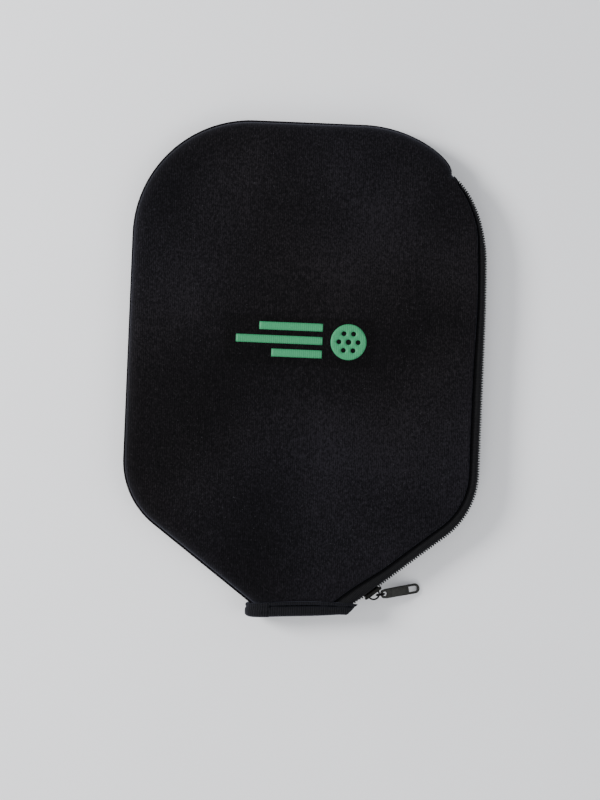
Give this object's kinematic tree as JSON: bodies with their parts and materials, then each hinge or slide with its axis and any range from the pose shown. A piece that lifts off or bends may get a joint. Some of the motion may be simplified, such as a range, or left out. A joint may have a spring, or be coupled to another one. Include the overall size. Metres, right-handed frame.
{
  "type": "paddle case",
  "caption": "Flat zipped foam cover for the head of a pickleball paddle, with an open bound mouth for the handle and a side zipper.",
  "frame": {"origin": "centre of the bounding box in plan, on the plane that the back panel lies on", "axes": "+Z out of the printed front panel, +Y from the mouth towards the top edge, +X towards the zipper side"},
  "size_m": [0.22, 0.306, 0.0201],
  "materials": {
    "jersey_foam": "black knit jersey over foam",
    "lining": "black knit lining",
    "binding_tape": "black ribbed tape",
    "thread": "black sewing thread",
    "facing": "black jersey",
    "zip_tape": "woven zip tape",
    "coil": "moulded nylon",
    "stop_metal": "black plated",
    "slider_metal": "black gunmetal",
    "ring_metal": "black gunmetal",
    "print_film": "green transfer print"
  },
  "bodies": {
    "case": {"front_panel": "jersey_foam", "back_panel": "jersey_foam", "front_lining": "lining", "back_lining": "lining", "seam_binding": "binding_tape", "side_seam_thread": "thread", "mouth_binding": "binding_tape", "mouth_thread": "thread", "zip_facing_top": "facing", "zip_facing_back": "facing", "zip_thread_back": "thread", "zip_tape_back": "zip_tape", "zip_coil_back": "coil", "zip_closed_end": "coil", "zip_top_stop": "stop_metal", "zip_end_stop_back": "stop_metal", "front_print": "print_film"},
    "flap": {"flap_lining": "lining", "front_flap": "jersey_foam", "mouth_binding_flap": "binding_tape", "mouth_thread_flap": "thread", "zip_coil_flap": "coil", "zip_end_stop_flap": "stop_metal", "zip_facing_flap": "facing", "zip_tape_flap": "zip_tape", "zip_thread_flap": "thread"},
    "slider": {"slider_body": "slider_metal", "slider_bridge": "slider_metal"},
    "link": {"link_ring": "ring_metal"},
    "pull": {"pull_tab": "slider_metal"}
  },
  "joints": [
    {"name": "flap_fold", "type": "hinge", "parent": "case", "child": "flap", "pos_m": [-0.009, -0.1435, 0.02], "axis": [-0.3962, -0.9182, 0], "range_deg": [0, 100]},
    {"name": "slider_travel", "type": "slide", "parent": "case", "child": "slider", "axis": [0.7793, 0.6266, 0], "range_m": [-0.004, 0.05]},
    {"name": "link_swing", "type": "hinge", "parent": "slider", "child": "link", "pos_m": [0.05161, -0.13673, 0.01], "axis": [0, 0, 1], "range_deg": [-25, 10]},
    {"name": "tab_swing", "type": "hinge", "parent": "link", "child": "pull", "pos_m": [0.05347, -0.13634, 0.01], "axis": [0.2045, -0.9789, 0], "range_deg": [-60, 80]}
  ]
}
